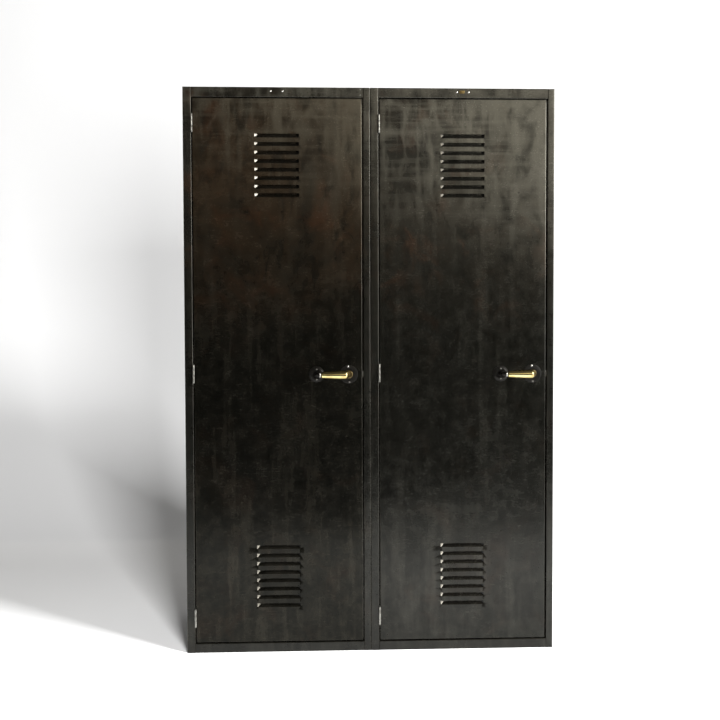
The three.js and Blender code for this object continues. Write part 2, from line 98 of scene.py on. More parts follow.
# Small holes left by fittings that are gone: from the door's lower left corner, and radius
DOOR_HOLES = {
    "left": [(210 * MM, 1403 * MM, 1.9 * MM), (285 * MM, 1398 * MM, 2.1 * MM)],
    "right": [(95 * MM, 1496 * MM, 1.5 * MM), (454 * MM, 1461 * MM, 1.6 * MM)],
}

# Hinges
HINGE_HEIGHT = 57 * MM
KNUCKLES = 3
KNUCKLE_RADIUS = 3.35 * MM
KNUCKLE_EDGE = 0.5 * MM
KNUCKLE_GAP = 0.25 * MM
LEAF_SIDES = (0.19 * MM, 1.06 * MM)
LEAF_START = 4.2 * MM
LEAF_EDGE = 0.15 * MM
ROLL_DEPTHS = (1.5 * MM, 5 * MM)
PIN_RADIUS = 1.7 * MM
PIN_HEAD_RADIUS = 3.05 * MM

# Holes and slots for the lock
SPINDLE_HOLE = 7 * MM
KEY_HOLE = 10.6 * MM
BOLT_SLOT_HALF = 10.5 * MM
BOLT_SLOT_DEPTHS = (6.5 * MM, 15.5 * MM)

# Handle
GRIP_OUT = 48 * MM
GRIP_START = 15.8 * MM
NECK_BEND = 8.5 * MM
SQUARE_HALF = 4 * MM
SQUARE_DEPTHS = (-2 * MM, 14.5 * MM)
ROSETTE_SCREW_RADIUS = 16.2 * MM
ESCUTCHEON_SCREW_RADIUS = 25.6 * MM

# The grip's own profile, in millimetres along its axis and from it
GRIP_LENGTH = 86
GRIP_SHOULDER = 2.2
GRIP_NARROW = 10.55
GRIP_SWELL = 3.78
GRIP_WIDE = 14.33
GRIP_DOME = 11.0
GRIP_STEPS = 12

# Turned profiles in millimetres: distance out of the door (or along the axis), and radius
ROSETTE_PROFILE = [
    (0.35, 8.2), (0.35, 25.1), (0.7, 25.5), (2.2, 25.5), (3.0, 25.0), (3.35, 23.8), (3.5, 21.4), (4.0, 20.6),
    (5.0, 20.2), (5.55, 19.2), (5.8, 17.4), (5.8, 12.5), (5.5, 11.4), (5.0, 10.6), (4.9, 8.2),
]
NECK_STEM = [(1, 7.4), (5, 7.4), (8, 8.6), (10, 9.0), (12.5, 8.6), (16, 7.2), (28, 6.6)]
FERRULE_PROFILE = [
    (0, 6.9), (0, 9.0), (0.35, 9.7), (0.9, 10.3), (1.7, 10.6), (2.5, 10.3), (3.0, 9.7), (3.37, 9.0),
    (3.37, 6.9),
]
ESCUTCHEON_PROFILE = [
    (0.35, 14.2), (0.35, 29.6), (0.6, 29.95), (1.1, 29.95), (1.6, 29.4), (1.88, 28.4), (1.88, 16.0),
    (1.7, 14.2),
]
CYLINDER_PROFILE = [
    (0.35, 7.0), (0.35, 13.5), (4.2, 13.5), (5.0, 13.2), (5.5, 12.6), (6.2, 11.8), (6.5, 11.0), (6.5, 7.6),
    (6.2, 7.0),
]
BARREL_PROFILE = [(0.9, 7.0), (0.9, 9.9), (-13.4, 9.9), (-13.4, 7.0)]
BOLT_HEAD_PROFILE = [(-0.3, 0), (-0.3, 6.5), (3.6, 6.5), (4.2, 5.8), (4.2, 0)]

# Heads of rivets and screws: radius and rise
PLATE_RIVET = (3.3 * MM, 1.9 * MM)
RAIL_RIVET = (2.2 * MM, 1.1 * MM)
ROSETTE_SCREW = (2.4 * MM, 1.0 * MM)
ESCUTCHEON_SCREW = (3.0 * MM, 1.4 * MM)
JOINING_HEIGHTS = (0.25, 0.95, 1.65)
JOINING_REAR = 0.19
JOINING_INSET = 0.09

# Colours of the waxed steel's marks and of the painted shade and painted highlight in its louvre troughs, the
# heights between which it grows warm, and those over which it grows paler with rubbing marks and a painted
# sheen
DIRT_AND_TROUGH_SHADE = (0.004, 0.004, 0.003)
RUST = (0.060, 0.027, 0.013)
WORN_BEND = (0.065, 0.060, 0.048)
SHADED_END = (0.002, 0.002, 0.0015)
END_HIGHLIGHT = (0.24, 0.225, 0.19)
WARM_HEIGHTS = (0.95, 1.5)
RUBBED_AND_SHEEN_HEIGHTS = (1.32, 1.88)

# Stage and camera
SWEEP_RADIUS = 4.2
WALL_DISTANCE = 5.2
WALL_TOP = 4.6
STAGE_HALF = 7
CAMERA_PLACE = (-0.167, -3.461, 1.074)
CAMERA_TURN = (90 - 2.12, 0.17, -2.35)

CAD_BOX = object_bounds()
JOINTS = {joint["name"]: joint for joint in frame["joints"]}


# Meshes

class Surface:
    """Vertices and faces, with vertices at the same place merged."""

    def __init__(self):
        self.points = []
        self.index = {}
        self.faces = []

    def vertex(self, point):
        key = tuple(round(c, 7) for c in point)
        if key not in self.index:
            self.index[key] = len(self.points)
            self.points.append(Vector(point))
        return self.index[key]

    def face(self, *points):
        ids = []
        for point in points:
            i = self.vertex(point)
            if i not in ids:
                ids.append(i)
        if len(ids) > 2:
            self.faces.append(ids)

    def move(self, change):
        """Moves every vertex to change(vertex)."""
        self.points = [change(point) for point in self.points]


def add_mesh(name, points, faces):
    mesh = bpy.data.meshes.new(name)
    mesh.from_pydata([tuple(p) for p in points], [], faces)
    thing = bpy.data.objects.new(name, mesh)
    bpy.context.scene.collection.objects.link(thing)
    return thing


def settle(thing, smooth=SHARP):
    """Applies the modifiers, then shades smooth with sharp edges above the given angle."""
    bpy.context.view_layer.update()
    graph = bpy.context.evaluated_depsgraph_get()
    mesh = bpy.data.meshes.new_from_object(thing.evaluated_get(graph))
    thing.modifiers.clear()
    thing.data = mesh
    shape = bmesh.new()
    shape.from_mesh(mesh)
    limit = math.radians(smooth)
    for edge in shape.edges:
        edge.smooth = edge.calc_face_angle(0) < limit
    for face in shape.faces:
        face.smooth = True
    shape.to_mesh(mesh)
    shape.free()
    return thing


def thicken(thing, thickness=SHEET):
    """Gives a surface its sheet thickness, behind the faces that it shows."""
    solid = thing.modifiers.new("sheet", "SOLIDIFY")
    solid.thickness = thickness
    solid.offset = -1
    solid.use_even_offset = True
    return thing


def place(thing, body, material, replaced=()):
    """Finishes a piece: its material, the body that it rides on and the nodes that it stands for."""
    for vertex in thing.data.vertices:
        vertex.co = [min(max(c, low), high) for c, low, high in zip(vertex.co, *CAD_BOX)]
    thing.data.materials.clear()
    thing.data.materials.append(material)
    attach(thing, body)
    if replaced:
        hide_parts(*replaced)
    return thing


def smoothstep(low, high, value):
    share = min(max((value - low) / (high - low), 0), 1)
    return share * share * (3 - 2 * share)


def ripple(a, b, seed):
    """A gentle unevenness of sheet metal, from -1 to 1."""
    slow = noise.noise(Vector((a * 3.1, b * 3.1, seed)))
    quick = noise.noise(Vector((a * 9.0, b * 9.0, seed + 40)))
    return max(-1.0, min(1.0, slow * 1.3 + quick * 0.35))


def spaced(start, end, step, extra=()):
    """Values from start to end, at most step apart, with the extra ones among them."""
    marks = sorted([start, end, *[e for e in extra if min(start, end) < e < max(start, end)]])
    values = [marks[0]]
    for low, high in zip(marks, marks[1:]):
        count = max(1, math.ceil((high - low) / step - 1e-6))
        values += [low + (high - low) * (i + 1) / count for i in range(count)]
    return values if start < end else values[::-1]


def rounded(corners, radii, step=CELL, marks=()):
    """A path through the corners, each bent to its radius, with points at most step apart."""
    path = [Vector(corners[0])]
    for before, corner, after, radius in zip(corners, corners[1:], corners[2:], radii):
        here = Vector(corner)
        back = (Vector(before) - here).normalized()
        ahead = (Vector(after) - here).normalized()
        half = back.angle(ahead) / 2
        reach = radius / math.tan(half)
        centre = here + (back + ahead).normalized() * radius / math.sin(half)
        start = here + back * reach
        end = here + ahead * reach
        turn = math.pi - 2 * half
        for i in range(BEND_STEPS + 1):
            share = i / BEND_STEPS
            a = math.sin(turn * (1 - share)) / math.sin(turn)
            b = math.sin(turn * share) / math.sin(turn)
            path.append(centre + (start - centre) * a + (end - centre) * b)
    path.append(Vector(corners[-1]))
    full = [path[0]]
    for a, b in zip(path, path[1:]):
        shares = {i / max(1, math.ceil((b - a).length / step)) for i in
                  range(1, max(1, math.ceil((b - a).length / step)) + 1)}
        for mark in marks:
            along = (b - a).dot(Vector(mark) - a) / (b - a).length_squared
            if 0.001 < along < 0.999 and (a.lerp(b, along) - Vector(mark)).length < 1e-5:
                shares.add(along)
        full += [a.lerp(b, share) for share in sorted(shares)]
    return full


def folded(name, path, spans, at, flip=False, hole=None, change=None, thickness=SHEET):
    """A folded sheet: a path drawn along a straight line.

    at(a, b, t) gives a place from a point of the path and a span; hole(place) is true where no sheet is.
    """
    surface = Surface()
    for p, q in zip(path, path[1:]):
        for s, t in zip(spans, spans[1:]):
            corners = [at(*p, s), at(*q, s), at(*q, t), at(*p, t)]
            middle = sum((Vector(c) for c in corners), Vector()) / 4
            if hole is None or not hole(middle):
                surface.face(*(corners[::-1] if flip else corners))
    if change:
        surface.move(change)
    thing = thicken(add_mesh(name, surface.points, surface.faces), thickness)
    return settle(thing)


def turned(name, profile, centre, axis, segments=48, smooth=30):
    """A closed body of revolution, from (distance along the axis, radius) pairs.

    They start and end at radius 0, or at the same pair where the body is a ring.
    """
    along = Vector(axis).normalized()
    side = along.orthogonal().normalized()
    other = along.cross(side)
    surface = Surface()

    def ring(i, k):
        distance, radius = profile[i]
        angle = 2 * math.pi * (k % segments) / segments
        spoke = side * math.cos(angle) + other * math.sin(angle)
        return Vector(centre) + along * distance + spoke * radius

    for i in range(len(profile) - 1):
        for k in range(segments):
            surface.face(ring(i, k), ring(i, k + 1), ring(i + 1, k + 1), ring(i + 1, k))
    return settle(add_mesh(name, surface.points, surface.faces), smooth)


def washer(name, profile, centre, axis, segments=48, smooth=30):
    """A ring: a closed loop of (distance along the axis, radius) pairs turned round the axis."""
    return turned(name, profile + profile[:1], centre, axis, segments, smooth)


def millimetres(profile):
    """The pairs of a profile given in millimetres, in metres."""
    return [(a * MM, r * MM) for a, r in profile]


def soft_block(name, low, high, edge):
    """A box with rounded edges."""
    shape = bmesh.new()
    bmesh.ops.create_cube(shape, size=1)
    size = Vector(high) - Vector(low)
    bmesh.ops.scale(shape, vec=size, verts=shape.verts)
    bmesh.ops.translate(shape, vec=(Vector(low) + Vector(high)) / 2, verts=shape.verts)
    bmesh.ops.bevel(shape, geom=shape.edges[:], offset=edge, segments=3, profile=0.5, affect="EDGES")
    mesh = bpy.data.meshes.new(name)
    shape.to_mesh(mesh)
    shape.free()
    thing = bpy.data.objects.new(name, mesh)
    bpy.context.scene.collection.objects.link(thing)
    return settle(thing, 50)


def joined(name, things):
    """One object from several."""
    shape = bmesh.new()
    for thing in things:
        shape.from_mesh(thing.data)
    mesh = bpy.data.meshes.new(name)
    shape.to_mesh(mesh)
    shape.free()
    for thing in things:
        bpy.data.objects.remove(thing)
    whole = bpy.data.objects.new(name, mesh)
    bpy.context.scene.collection.objects.link(whole)
    return whole


# Materials

class Shader:
    """A Principled material and the nodes that feed it. Textures are fixed to the object."""

    def __init__(self, name, metallic, roughness, colour=(0.5, 0.5, 0.5)):
        self.material = bpy.data.materials.new(name)
        self.material.use_nodes = True
        self.tree = self.material.node_tree
        self.surface = self.tree.nodes["Principled BSDF"]
        self.surface.inputs["Metallic"].default_value = metallic
        self.surface.inputs["Roughness"].default_value = roughness
        self.surface.inputs["Base Color"].default_value = (*colour, 1)
        self.coordinates = self.tree.nodes.new("ShaderNodeTexCoord")

    def node(self, kind, inputs=None, **settings):
        made = self.tree.nodes.new("ShaderNode" + kind)
        for key, value in settings.items():
            setattr(made, key, value)
        for key, value in (inputs or {}).items():
            self.feed(made.inputs[key], value)
        return made

    def feed(self, socket, value):
        if isinstance(value, bpy.types.NodeSocket):
            self.tree.links.new(value, socket)
        elif isinstance(value, tuple) and len(value) == 3 and socket.type == "RGBA":
            socket.default_value = (*value, 1)
        else:
            socket.default_value = value

    def math(self, operation, a, b=0.0):
        made = self.node("Math", operation=operation)
        self.feed(made.inputs[0], a)
        self.feed(made.inputs[1], b)
        return made.outputs[0]

    def noise(self, scale, detail=4.0, roughness=0.55, stretch=(1, 1, 1), shift=0.0, distortion=0.0):
        moved = self.node("Mapping", {
            "Vector": self.coordinates.outputs["Object"],
            "Scale": stretch,
            "Location": (shift, shift * 0.7, shift * 1.3),
        })
        return self.node("TexNoise", {
            "Vector": moved.outputs[0],
            "Scale": scale,
            "Detail": detail,
            "Roughness": roughness,
            "Distortion": distortion,
        }).outputs[0]

    def ramp(self, value, low, high, to_low=0.0, to_high=1.0):
        return self.node("MapRange", {
            "Value": value,
            "From Min": low,
            "From Max": high,
            "To Min": to_low,
            "To Max": to_high,
        }, interpolation_type="SMOOTHSTEP").outputs[0]

    def blend(self, share, a, b):
        made = self.node("Mix", data_type="RGBA")
        self.feed(made.inputs[0], share)
        self.feed(made.inputs[6], a)
        self.feed(made.inputs[7], b)
        return made.outputs[2]

    def edges(self, low=0.02, high=0.16):
        """1 on bends, bevels and other faces that are square to no axis, where the finish wears."""
        facing = self.node("SeparateXYZ", {"Vector": self.coordinates.outputs["Normal"]})
        parts = [self.math("ABSOLUTE", facing.outputs[i]) for i in range(3)]
        widest = self.math("MAXIMUM", self.math("MAXIMUM", parts[0], parts[1]), parts[2])
        return self.ramp(self.math("SUBTRACT", 1.0, widest), low, high)

    def bump(self, value, strength, distance):
        made = self.node("Bump", {"Height": value, "Strength": strength, "Distance": distance})
        self.feed(self.surface.inputs["Normal"], made.outputs[0])

    def finish(self, colour=None, roughness=None, metallic=None):
        for key, value in (("Base Color", colour), ("Roughness", roughness), ("Metallic", metallic)):
            if value is not None:
                self.feed(self.surface.inputs[key], value)
        return self.material


def waxed_steel(name, shift, dark, brown, rubbed, brown_share=1.0, dullness=0.0, light=(-0.9, 0.6),
                specular=0.5):
    """Stripped steel, darkened and waxed: mottled brown and black, paler towards the top with rubbing marks
    and a painted sheen, and worn lighter on bends.

    In the louvre troughs it paints shade, darkest on the walls that face left, and a highlight on the walls
    that face right. dullness is added to its roughness, and light is the stretch of x over which the painted
    sheen grows.
    """
    s = Shader(name, 0.62, 0.3)
    s.surface.inputs["Specular IOR Level"].default_value = specular
    clouds = s.noise(2.6, 6.0, 0.62, shift=shift, distortion=0.7)
    blotches = s.noise(7.5, 6.0, 0.64, shift=shift + 5, distortion=0.9)
    upright = s.noise(10.0, 5.0, 0.6, stretch=(3.0, 3.0, 0.3), shift=shift + 9)
    level = s.noise(9.0, 5.0, 0.62, stretch=(0.45, 0.45, 7.0), shift=shift + 14)
    grain = s.noise(420.0, 3.0, 0.6, shift=shift)
    pits = s.noise(170.0, 4.0, 0.7, shift=shift + 21)
    fine = s.noise(70.0, 6.0, 0.75, stretch=(0.6, 0.6, 2.4), shift=shift + 30)
    mottle = s.noise(26.0, 6.0, 0.7, shift=shift + 37, distortion=0.3)
    patches = s.noise(13.0, 4.0, 0.55, stretch=(1.3, 1.3, 0.7), shift=shift + 44, distortion=0.8)

    spot = s.node("SeparateXYZ", {"Vector": s.coordinates.outputs["Object"]})
    high = s.ramp(spot.outputs[2], *WARM_HEIGHTS)
    slanted = s.math("ADD", spot.outputs[2], s.math("MULTIPLY", spot.outputs[0], 0.25))
    top = s.ramp(slanted, *RUBBED_AND_SHEEN_HEIGHTS)
    right = s.ramp(spot.outputs[0], *light)
    warm = s.math("MULTIPLY", s.ramp(clouds, 0.36, 0.62), s.math("MULTIPLY", high, brown_share))
    rust_share = s.math("ADD", s.math("MULTIPLY", high, 0.8), 0.1)
    rust = s.math("MULTIPLY", s.ramp(blotches, 0.5, 0.72, 0.0, 0.75), rust_share)
    streak_share = s.math("ADD", s.math("MULTIPLY", top, 0.9), 0.1)
    streaks = s.math("MULTIPLY", s.ramp(upright, 0.46, 0.68, 0.0, 0.95), streak_share)
    brushed = s.math("MULTIPLY", s.ramp(level, 0.42, 0.72, 0.0, 0.8), top)
    # Painted sheen: paler towards the upper right, standing in for the window lamp's reflection.
    lit = s.math("MULTIPLY", s.math("MULTIPLY", top, right), s.ramp(clouds, 0.3, 0.6, 0.55, 1.0))
    worn = s.math("MULTIPLY", s.edges(), s.ramp(blotches, 0.3, 0.65, 0.15, 1.0))
    # The "rubbed" attribute marks the louvre troughs, which get painted shade and painted highlights.
    painted_trough_light = s.node("Attribute", attribute_name="rubbed").outputs["Fac"]
    facing = s.node("SeparateXYZ", {"Vector": s.coordinates.outputs["Normal"]})
    # Painted highlight on the trough walls that face right, towards the window lamp, and painted shade on
    # those that face left.
    ends = s.math("MULTIPLY", painted_trough_light, s.ramp(facing.outputs[0], 0.18, 0.42))
    far_ends = s.math("MULTIPLY", painted_trough_light, s.ramp(facing.outputs[0], -0.18, -0.4))

    colour = s.blend(warm, dark, brown)
    colour = s.blend(rust, colour, RUST)
    # The painted sheen at the upper right.
    colour = s.blend(lit, colour, rubbed)
    colour = s.blend(s.ramp(mottle, 0.35, 0.7, 0.0, 0.09), colour, rubbed)
    colour = s.blend(streaks, colour, rubbed)
    colour = s.blend(s.math("MULTIPLY", s.ramp(patches, 0.44, 0.66, 0.0, 0.8), top), colour, rubbed)
    colour = s.blend(s.ramp(patches, 0.5, 0.32, 0.0, 0.6), colour, dark)
    colour = s.blend(s.math("MULTIPLY", brushed, 0.85), colour, rubbed)
    colour = s.blend(s.ramp(fine, 0.55, 0.85, 0.0, 0.35), colour, rubbed)
    colour = s.blend(s.ramp(pits, 0.62, 0.72, 0.0, 0.6), colour, DIRT_AND_TROUGH_SHADE)
    colour = s.blend(s.math("MULTIPLY", worn, 0.7), colour, WORN_BEND)
    # Painted shade: the louvre troughs darkened by half.
    colour = s.blend(s.math("MULTIPLY", painted_trough_light, 0.5), colour, DIRT_AND_TROUGH_SHADE)
    # Painted shade on the trough walls that face left, and a painted highlight on those that face right.
    colour = s.blend(far_ends, colour, SHADED_END)
    colour = s.blend(ends, colour, END_HIGHLIGHT)

    rough = s.ramp(clouds, 0.3, 0.7, 0.16 + dullness, 0.27 + dullness)
    rough = s.math("ADD", rough, s.ramp(mottle, 0.4, 0.75, 0.0, 0.06))
    rough = s.math("ADD", rough, s.ramp(fine, 0.5, 0.8, 0.0, 0.07))
    rough = s.math("ADD", rough, s.ramp(pits, 0.6, 0.72, 0.0, 0.25))

    relief = s.math("ADD", s.math("MULTIPLY", grain, 0.2), s.math("MULTIPLY", fine, 0.45))
    relief = s.math("SUBTRACT", relief, s.ramp(pits, 0.62, 0.74, 0.0, 0.9))
    relief = s.math("ADD", relief, s.math("MULTIPLY", patches, 7.0))
    s.bump(relief, 0.3, 0.0002)
    return s.finish(colour, rough)


def worked_metal(name, colour, tarnish, metallic, low, high, scale=45.0, strength=0.2):
    """Handled metal: bright, with darker tarnish in cloudy patches and fine marks."""
    s = Shader(name, metallic, low)
    clouds = s.noise(scale, 5.0, 0.6, distortion=0.4)
    marks = s.noise(scale * 9, 4.0, 0.7)
    patches = s.ramp(clouds, 0.42, 0.72)
    shade = s.blend(s.math("MULTIPLY", patches, 0.7), colour, tarnish)
    shade = s.blend(s.ramp(marks, 0.6, 0.75, 0.0, 0.45), shade, tarnish)
    rough = s.math("ADD", s.ramp(clouds, 0.35, 0.75, low, high), s.ramp(marks, 0.55, 0.75, 0.0, 0.1))
    s.bump(s.math("ADD", clouds, s.math("MULTIPLY", marks, 0.4)), strength, 0.0003)
    return s.finish(shade, rough)


DOOR_FINISH = {
    "left": waxed_steel("left_door_finish", 0.0, (0.006, 0.006, 0.0045), (0.036, 0.023, 0.0125),
                        (0.110, 0.098, 0.073), light=(-0.50, 0.25), specular=0.22),
    "right": waxed_steel("right_door_finish", 31.0, (0.008, 0.008, 0.006), (0.026, 0.021, 0.014),
                         (0.125, 0.120, 0.098), 0.8, light=(0.0, 0.62), specular=0.42),
}
CASE_FINISH = waxed_steel("case_finish", 57.0, (0.009, 0.009, 0.007), (0.022, 0.017, 0.010),
                          (0.095, 0.091, 0.074), 0.7, 0.05, (-0.4, 0.7))
INNER_FINISH = waxed_steel("inner_finish", 83.0, (0.018, 0.018, 0.015), (0.032, 0.025, 0.018),
                           (0.060, 0.058, 0.050), 0.5, 0.16)
HINGE_FINISH = worked_metal("hinge_finish", (0.30, 0.295, 0.27), (0.08, 0.074, 0.06), 0.9, 0.30, 0.5, 80.0)
LOCK_FINISH = worked_metal("lock_finish", (0.20, 0.195, 0.18), (0.07, 0.06, 0.045), 0.85, 0.35, 0.55, 60.0)
BRIGHT_FINISH = worked_metal("bright_finish", (0.75, 0.74, 0.70), (0.40, 0.38, 0.33),
                             1.0, 0.14, 0.28, 90.0, 0.08)
IRON_FINISH = worked_metal("iron_finish", (0.016, 0.015, 0.013), (0.006, 0.005, 0.004),
                           0.7, 0.28, 0.5, 70.0, 0.35)
BRASS_FINISH = worked_metal("brass_finish", (0.60, 0.50, 0.23), (0.26, 0.19, 0.07),
                            1.0, 0.15, 0.28, 55.0, 0.06)
CYLINDER_FINISH = worked_metal("cylinder_finish", (0.11, 0.082, 0.036), (0.03, 0.021, 0.010),
                               1.0, 0.25, 0.5, 120.0, 0.2)
DULL_BRASS_FINISH = worked_metal("dull_brass_finish", (0.30, 0.22, 0.09), (0.10, 0.07, 0.03),
                                 1.0, 0.28, 0.5, 90.0)


# Doors

def louvre_cuts():
    """Heights of the cuts above the louvre troughs."""
    top = CAD_BOX[1].z
    low = [LOUVRE_END + LOUVRE_HEIGHT + i * LOUVRE_PITCH for i in range(LOUVRE_COUNT)]
    high = [top - LOUVRE_END - i * LOUVRE_PITCH for i in range(LOUVRE_COUNT)]
    return low + high


def trough_share(x, z):
    """How far a louvre's trough is pressed in, from 0 on its rim to 1; z is 0 at the cut, less below it."""
    end = LOUVRE_WIDTH / 2 - abs(x)
    low = z + LOUVRE_HEIGHT
    share = min(1, end / TROUGH_END, low / TROUGH_LIP)
    if end < TROUGH_CORNER and low < TROUGH_CORNER:
        inside = TROUGH_CORNER - math.hypot(TROUGH_CORNER - end, TROUGH_CORNER - low)
        share = min(share, inside / TROUGH_LIP)
    return max(0, share)


def trough_depth(x, z):
    """Depth of the trough with its creases eased."""
    total = 0
    for dx, dz in EASING:
        total += trough_share(x + dx, min(z + dz, 0))
    eased = total / len(EASING)
    edge = smoothstep(0, 0.16, trough_share(x, z))
    return LOUVRE_DEPTH * eased * edge


def trough_rim():
    """The trough's outline from the left end of the cut, down and round to the right end."""
    half = LOUVRE_WIDTH / 2
    drop = LOUVRE_HEIGHT - TROUGH_CORNER
    left = [(-half, -drop * i / 5) for i in range(5)]
    for i in range(7):
        angle = math.radians(90 * i / 6)
        left.append((-half + TROUGH_CORNER * (1 - math.cos(angle)), -drop - TROUGH_CORNER * math.sin(angle)))
    span = half - TROUGH_CORNER
    bottom = [(x, -LOUVRE_HEIGHT) for x in spaced(-span, span, 9 * MM)[1:-1]]
    return left + bottom + [(-x, z) for x, z in left[::-1]]


def trough_cut():
    """The points along the cut, from right to left, without its ends."""
    half = LOUVRE_WIDTH / 2
    return [(x, 0) for x in spaced(half, -half, 9 * MM, (half - TROUGH_END, TROUGH_END - half))[1:-1]]


def trough_field():
    """Triangles of one trough in the plane of the door."""
    half = LOUVRE_WIDTH / 2
    outline = trough_rim() + trough_cut()
    columns = [side * (half - d * 1.45 * MM) for side in (-1, 1) for d in range(1, 13)]
    columns += spaced(-half + 24 * MM, half - 24 * MM, 12 * MM)
    inner = [(x, -row * 1.3 * MM) for x in columns for row in range(1, 10)]
    inner += [(side * (half - d * 1.45 * MM), -0.4 * MM) for side in (-1, 1) for d in range(1, 10)]
    inner = [(x, z) for x, z in inner if trough_share(x, z) > 0.05]
    return plane(outline, [], inner)


def circle(x, z, radius, count=24):
    return [(x + radius * math.cos(2 * math.pi * k / count), z + radius * math.sin(2 * math.pi * k / count))
            for k in range(count)]


def within(point, loop):
    inside = False
    for (ax, az), (bx, bz) in zip(loop, loop[1:] + loop[:1]):
        if (az > point[1]) != (bz > point[1]) and point[0] < (bx - ax) * (point[1] - az) / (bz - az) + ax:
            inside = not inside
    return inside


def plane(outline, loops, inner):
    """Triangles inside the outline and outside the loops, through all the inner points."""
    points = [Vector(p) for p in outline]
    edges = [(i, (i + 1) % len(outline)) for i in range(len(outline))]
    for loop in loops:
        start = len(points)
        points += [Vector(p) for p in loop]
        edges += [(start + i, start + (i + 1) % len(loop)) for i in range(len(loop))]
    points += [Vector(p) for p in inner]
    made, _, faces, *_ = delaunay_2d_cdt(points, edges, [], 0, 1e-7)
    kept_faces = []
    for face in faces:
        corners = [made[i] for i in face]
        middle = sum(corners, Vector((0, 0))) / len(corners)
        if within(middle, outline) and not any(within(middle, loop) for loop in loops):
            kept_faces.append(corners)
    return kept_faces


def field(outline, loops, step):
    """An even field of points inside an outline and clear of the loops."""
    boxes = []
    for loop in loops:
        xs, zs = [p[0] for p in loop], [p[1] for p in loop]
        boxes.append((min(xs), max(xs), min(zs), max(zs)))
    xs, zs = [p[0] for p in outline], [p[1] for p in outline]
    clear = step * 0.4
    return [(x, z) for x in spaced(min(xs), max(xs), step)[1:-1] for z in spaced(min(zs), max(zs), step)[1:-1]
            if not any(a - clear < x < b + clear and c - clear < z < d + clear for a, b, c, d in boxes)]


def door_sheet(side, seed):
    """The door's folded pan in one sheet with its louvre troughs, which its "rubbed" attribute marks for
    painted shade and painted highlights.
    """
    low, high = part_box(f"{side}_door")
    spindle = Vector(JOINTS[f"{side}_handle_turn"]["pos_m"])
    key = Vector(JOINTS[f"{side}_plug_turn"]["pos_m"])
    front, depth = low.y, high.y - low.y
    middle = (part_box(f"{side}_hinge_side")[0].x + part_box(f"{side}_lock_side")[1].x) / 2
    surface = Surface()

    def show(*corners):
        area = sum(a[0] * b[2] - b[0] * a[2] for a, b in zip(corners, corners[1:] + corners[:1]))
        surface.face(*(corners if area > 0 else corners[::-1]))

    slot = (spindle.z - BOLT_SLOT_HALF, spindle.z + BOLT_SLOT_HALF)
    xs = spaced(low.x + BEND, high.x - BEND, CELL)
    zs = spaced(low.z + BEND, high.z - BEND, CELL, slot)
    outline = ([(x, zs[0]) for x in xs[:-1]] + [(xs[-1], z) for z in zs[:-1]]
               + [(x, zs[-1]) for x in xs[:0:-1]] + [(xs[0], z) for z in zs[:0:-1]])

    loops = [circle(spindle.x, spindle.z, SPINDLE_HOLE), circle(key.x, key.z, KEY_HOLE)]
    loops += [circle(low.x + x, low.z + z, r, 12) for x, z, r in DOOR_HOLES[side]]
    trough = trough_field()
    for cut in louvre_cuts():
        loops.append([(middle + x, cut + z) for x, z in trough_rim() + trough_cut()])
        for corners in trough:
            show(*[(middle + p.x, front + trough_depth(p.x, p.y), cut + p.y) for p in corners])
    for corners in plane(outline, loops, field(outline, loops, CELL)):
        show(*[(p.x, front, p.y) for p in corners])

    turns = [math.radians(90 * i / BEND_STEPS) for i in range(BEND_STEPS + 1)]
    rings = [(BEND * (1 - math.sin(t)), BEND * (1 - math.cos(t))) for t in turns]
    rings += [(0, BOLT_SLOT_DEPTHS[0]), (0, BOLT_SLOT_DEPTHS[1]), (0, depth)]

    def ring_point(x, z, inset, back):
        grow = BEND - inset
        sign_x = (x == xs[-1]) - (x == xs[0])
        sign_z = (z == zs[-1]) - (z == zs[0])
        return (x + sign_x * grow, front + back, z + sign_z * grow)

    closed = outline + outline[:1]
    for (inset1, back1), (inset2, back2) in zip(rings, rings[1:]):
        for (x1, z1), (x2, z2) in zip(closed, closed[1:]):
            at_slot = x1 == x2 == xs[-1] and slot[0] - 1e-6 < min(z1, z2) and max(z1, z2) < slot[1] + 1e-6
            if at_slot and abs(back1 - BOLT_SLOT_DEPTHS[0]) < 1e-6:
                continue
            surface.face(ring_point(x1, z1, inset2, back2), ring_point(x2, z2, inset2, back2),
                         ring_point(x2, z2, inset1, back1), ring_point(x1, z1, inset1, back1))

    def uneven(p):
        to_edge = min(p.x - low.x, high.x - p.x, p.z - low.z, high.z - p.z)
        to_lock = min((Vector((p.x, p.z)) - Vector((c.x, c.z))).length for c in (spindle, key))
        fade = smoothstep(0.008, 0.07, to_edge) * smoothstep(0.03, 0.08, to_lock)
        return p + Vector((0, ripple(p.x, p.z, seed) * WAVE_HEIGHT * fade, 0))

    surface.move(uneven)
    thing = thicken(add_mesh(f"{side}_door_sheet", surface.points, surface.faces))
    settle(thing)
    # The "rubbed" attribute marks the pressed-in louvre troughs, where the finish paints shade and
    # highlights.
    rubbed = thing.data.attributes.new("rubbed", "FLOAT", "POINT")
    for vertex, mark in zip(thing.data.vertices, rubbed.data):
        x, y, z = vertex.co
        inside = min(x - low.x, high.x - x, z - low.z, high.z - z) > 0.03
        mark.value = smoothstep(0.2 * MM, 1.5 * MM, y - front) * inside
    return place(thing, f"{side}_door", DOOR_FINISH[side], [f"{side}_door"])


# Case

